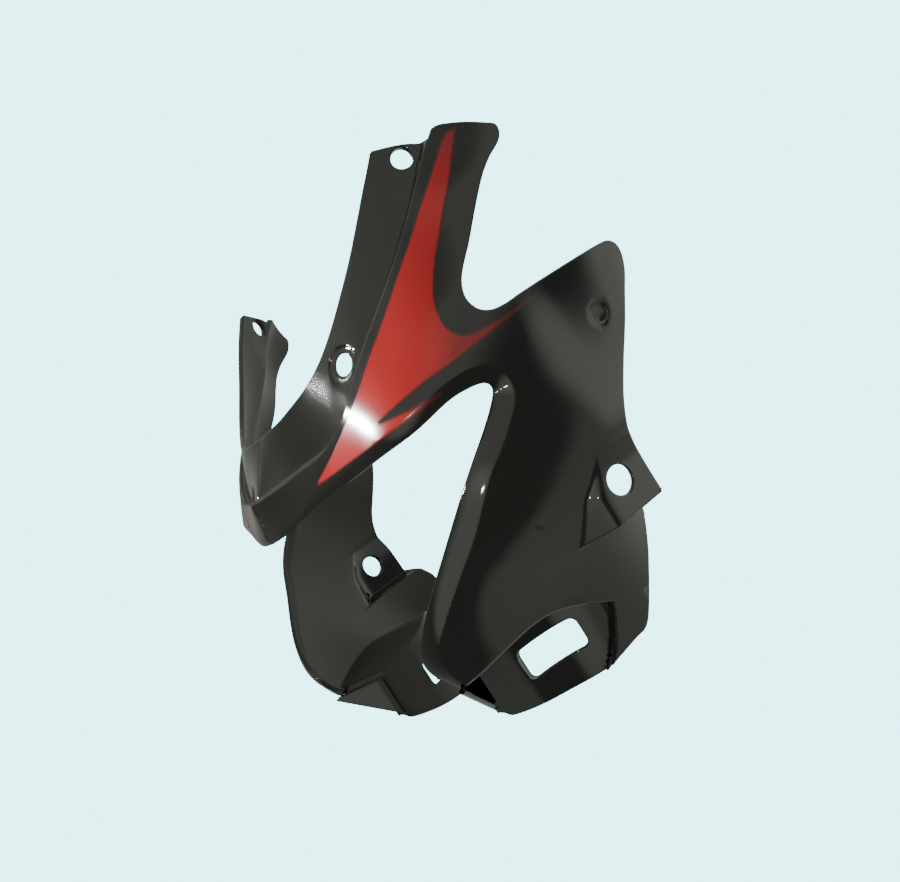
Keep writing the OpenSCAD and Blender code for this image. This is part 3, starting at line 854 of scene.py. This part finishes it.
def new_material(name):
    """A new material, its node tree and its shader."""
    material = bpy.data.materials.new(name)
    material.use_nodes = True
    tree = material.node_tree
    return material, tree, tree.nodes["Principled BSDF"]


def object_coords(tree):
    return tree.nodes.new("ShaderNodeTexCoord").outputs["Object"]


def attribute(tree, name):
    node = tree.nodes.new("ShaderNodeAttribute")
    node.attribute_name = name
    return node.outputs["Fac"]


def noise(tree, coords, scale, detail, roughness=0.5):
    node = tree.nodes.new("ShaderNodeTexNoise")
    node.inputs["Scale"].default_value = scale
    node.inputs["Detail"].default_value = detail
    node.inputs["Roughness"].default_value = roughness
    tree.links.new(coords, node.inputs["Vector"])
    return node.outputs["Fac"]


def ramp(tree, value, stops):
    node = tree.nodes.new("ShaderNodeValToRGB")
    items = node.color_ramp.elements
    while len(items) < len(stops):
        items.new(0.5)
    for item, (at, colour) in zip(items, stops):
        item.position = at
        item.color = colour
    tree.links.new(value, node.inputs["Fac"])
    return node.outputs["Color"]


def mix(tree, factor, a, b):
    node = tree.nodes.new("ShaderNodeMix")
    node.data_type = "RGBA"
    for socket, value in ((node.inputs["Factor"], factor), (node.inputs[6], a), (node.inputs[7], b)):
        if isinstance(value, bpy.types.NodeSocket):
            tree.links.new(value, socket)
        else:
            socket.default_value = value
    return node.outputs[2]


def grey(v):
    return (v, v, v, 1)


def gloss_surface(tree, shader, coords, colour, smooth, rough):
    """Orange peel, dust and faint wipe marks of a lacquered moulding, and its dull inside."""
    peel = noise(tree, coords, 260, 2)
    wave = noise(tree, coords, 42, 1)
    height = mix(tree, 0.3, wave, peel)
    bump = tree.nodes.new("ShaderNodeBump")
    bump.inputs["Strength"].default_value = 0.05
    bump.inputs["Distance"].default_value = 0.0006
    tree.links.new(height, bump.inputs["Height"])
    tree.links.new(bump.outputs["Normal"], shader.inputs["Normal"])
    specks = tree.nodes.new("ShaderNodeTexVoronoi")
    specks.inputs["Scale"].default_value = 170
    tree.links.new(coords, specks.inputs["Vector"])
    speck = ramp(tree, specks.outputs["Distance"], [(0.0, grey(1)), (0.028, grey(1)), (0.05, grey(0))])
    patchy = ramp(tree, noise(tree, coords, 30, 3), [(0.5, grey(0)), (0.62, grey(1))])
    dust = mix(tree, patchy, grey(0), speck)
    tree.links.new(mix(tree, dust, colour, (0.16, 0.15, 0.13, 1)), shader.inputs["Base Color"])
    smear = ramp(tree, noise(tree, coords, 18, 5, 0.6), [(0.35, grey(smooth)), (0.75, grey(rough))])
    finish = mix(tree, attribute(tree, "inside"), smear, grey(0.62))
    tree.links.new(mix(tree, dust, finish, grey(0.6)), shader.inputs["Roughness"])
    shader.inputs["IOR"].default_value = 1.5


def black_gloss():
    material, tree, shader = new_material("gloss_black_moulding")
    coords = object_coords(tree)
    tone = ramp(tree, noise(tree, coords, 9, 2), [(0.3, (0.007, 0.0068, 0.0055, 1)),
                                                  (0.7, (0.012, 0.0115, 0.009, 1))])
    gloss_surface(tree, shader, coords, tone, 0.04, 0.11)
    return material


def red_gloss():
    """Red film, darker along its cut edge."""
    material, tree, shader = new_material("red_vinyl_flash")
    coords = object_coords(tree)
    tone = ramp(tree, noise(tree, coords, 14, 2), [(0.3, (0.44, 0.004, 0.006, 1)),
                                                   (0.7, (0.52, 0.006, 0.008, 1))])
    edge = ramp(tree, attribute(tree, "rim"), [(0.0, grey(1)), (0.5, grey(1)), (0.6, grey(0))])
    gloss_surface(tree, shader, coords, mix(tree, edge, tone, (0.13, 0.004, 0.005, 1)), 0.12, 0.2)
    return material


# Camera, floor and light

# Camera in millimetres, with its directions to the right, down and ahead
CAMERA_AT = np.array([424.7, -234.9, 64.5])
CAMERA_RIGHT = np.array([0.4543, 0.7114, -0.5363])
CAMERA_DOWN = np.array([-0.2434, -0.4801, -0.8429])
CAMERA_AHEAD = np.array([-0.8571, 0.5134, -0.0449])
CAMERA_LENS = 40

# Colour and strength of what the camera sees behind the part
BACKDROP = (0.368, 0.927, 1.0, 1)
BACKDROP_STRENGTH = 5.85
# Floor: half its width and how far it lies below the part, in metres
FLOOR_HALF, FLOOR_DROP = 6.0, 0.45


def make_camera():
    data = bpy.data.cameras.new("camera")
    data.lens = CAMERA_LENS
    data.sensor_width = 36
    data.clip_start = 0.01
    camera = bpy.data.objects.new("camera", data)
    bpy.context.collection.objects.link(camera)
    basis = Matrix((CAMERA_RIGHT, -CAMERA_DOWN, -CAMERA_AHEAD)).transposed().to_4x4()
    camera.matrix_world = Matrix.Translation(Vector(CAMERA_AT * MM)) @ basis
    bpy.context.scene.camera = camera


def dot(tree, coords, direction):
    """How far coords point in a direction."""
    node = tree.nodes.new("ShaderNodeVectorMath")
    node.operation = "DOT_PRODUCT"
    node.inputs[1].default_value = direction
    tree.links.new(coords, node.inputs[0])
    return node.outputs["Value"]


def fade(tree, value, start, end, low, high):
    """Smooth change from low to high as value goes from start to end."""
    node = tree.nodes.new("ShaderNodeMapRange")
    node.interpolation_type = "SMOOTHSTEP"
    for socket, number in zip(("From Min", "From Max", "To Min", "To Max"), (start, end, low, high)):
        node.inputs[socket].default_value = number
    tree.links.new(value, node.inputs["Value"])
    return node.outputs["Result"]


def calculate(tree, operation, a, b):
    node = tree.nodes.new("ShaderNodeMath")
    node.operation = operation
    tree.links.new(a, node.inputs[0])
    tree.links.new(b, node.inputs[1])
    return node.outputs["Value"]


def surroundings(tree):
    """Brightness of the room that the gloss reflects, by direction: ground, sky, horizon and front."""
    at = tree.nodes.new("ShaderNodeTexCoord").outputs["Generated"]
    ground = fade(tree, dot(tree, at, (0, 1, -0.8)), 0.44, 0.62, 0.30, 0.86)
    sky = fade(tree, dot(tree, at, (0.25, 0, 1)), 0.22, 0.60, 0.0, 0.72)
    sky = calculate(tree, "MULTIPLY", sky, fade(tree, dot(tree, at, (0, -0.1, 1)), 0.80, 0.98, 1, 0.3))
    horizon = calculate(tree, "MULTIPLY", fade(tree, dot(tree, at, (0, 0, 1)), -0.50, -0.22, 0, 1),
                        fade(tree, dot(tree, at, (0, 1, 0)), 0.44, 0.60, 0, 0.9))
    front = fade(tree, dot(tree, at, (0.35, -0.93, 0.05)), 0.80, 0.97, 0, 1.1)
    return calculate(tree, "ADD", calculate(tree, "ADD", ground, sky), calculate(tree, "ADD", horizon, front))


def make_world():
    """Pale backdrop for the camera, reflected surroundings for gloss, and a low even light for the rest."""
    world = bpy.data.worlds.new("studio")
    bpy.context.scene.world = world
    world.use_nodes = True
    tree = world.node_tree
    even = tree.nodes["Background"]
    even.inputs["Color"].default_value = (0.95, 1.0, 0.97, 1)
    even.inputs["Strength"].default_value = 0.12
    seen = tree.nodes.new("ShaderNodeBackground")
    seen.inputs["Color"].default_value = BACKDROP
    seen.inputs["Strength"].default_value = BACKDROP_STRENGTH
    mirror = tree.nodes.new("ShaderNodeBackground")
    mirror.inputs["Color"].default_value = (0.97, 1.0, 0.90, 1)
    tree.links.new(surroundings(tree), mirror.inputs["Strength"])
    rays = tree.nodes.new("ShaderNodeLightPath")
    gloss, both = tree.nodes.new("ShaderNodeMixShader"), tree.nodes.new("ShaderNodeMixShader")
    tree.links.new(rays.outputs["Is Glossy Ray"], gloss.inputs["Fac"])
    tree.links.new(even.outputs["Background"], gloss.inputs[1])
    tree.links.new(mirror.outputs["Background"], gloss.inputs[2])
    tree.links.new(rays.outputs["Is Camera Ray"], both.inputs["Fac"])
    tree.links.new(gloss.outputs["Shader"], both.inputs[1])
    tree.links.new(seen.outputs["Background"], both.inputs[2])
    tree.links.new(both.outputs["Shader"], tree.nodes["World Output"].inputs["Surface"])


def round_light(name, near, direction, distance, width, power, spread=180):
    """Round light that shines on a point, in millimetres, from a direction; the rest is in metres."""
    data = bpy.data.lights.new(name, "AREA")
    data.shape = "DISK"
    data.size = width
    data.energy = power
    data.spread = math.radians(spread)
    light = bpy.data.objects.new(name, data)
    target = Vector(near) * MM
    light.location = target + Vector(direction).normalized() * distance
    light.rotation_mode = "QUATERNION"
    light.rotation_quaternion = (target - light.location).to_track_quat("-Z", "Y")
    bpy.context.collection.objects.link(light)


def make_floor():
    """Plain pale floor below the part, as bright as the backdrop so that no horizon shows."""
    mesh = bpy.data.meshes.new("floor")
    s, z = FLOOR_HALF, CAD_BOX[0][2] - FLOOR_DROP
    mesh.from_pydata([(-s, -s, z), (s, -s, z), (s, s, z), (-s, s, z)], [], [(0, 1, 2, 3)])
    material, tree, _ = new_material("floor")
    glow = tree.nodes.new("ShaderNodeEmission")
    glow.inputs["Color"].default_value = BACKDROP
    glow.inputs["Strength"].default_value = BACKDROP_STRENGTH
    tree.links.new(glow.outputs["Emission"], tree.nodes["Material Output"].inputs["Surface"])
    mesh.materials.append(material)
    floor = bpy.data.objects.new("floor", mesh)
    bpy.context.collection.objects.link(floor)
    floor.visible_diffuse = floor.visible_glossy = floor.visible_shadow = False


def build():
    make_camera()
    make_world()
    make_floor()
    round_light("key", (86, -60, 70), (-0.52, -0.62, 0.58), 0.5, 0.035, 0.118, 30)
    round_light("edge", (114, -48, 27), (0.47, -0.86, 0.2), 0.6, 0.045, 0.9)
    black, red = black_gloss(), red_gloss()
    shell = mesh_piece("shell", *mirrored(*joined(half_shell(), front_wall())), black)
    mark_inside(shell, np.array([v.co for v in shell.data.vertices]) / MM)
    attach(shell, "root")
    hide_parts("visor_shell")
    for name, side in (("left", 1), ("right", -1)):
        flash = flash_piece("flash_" + name, side, red)
        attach(flash, "root")
        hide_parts("decal_" + name)


build()
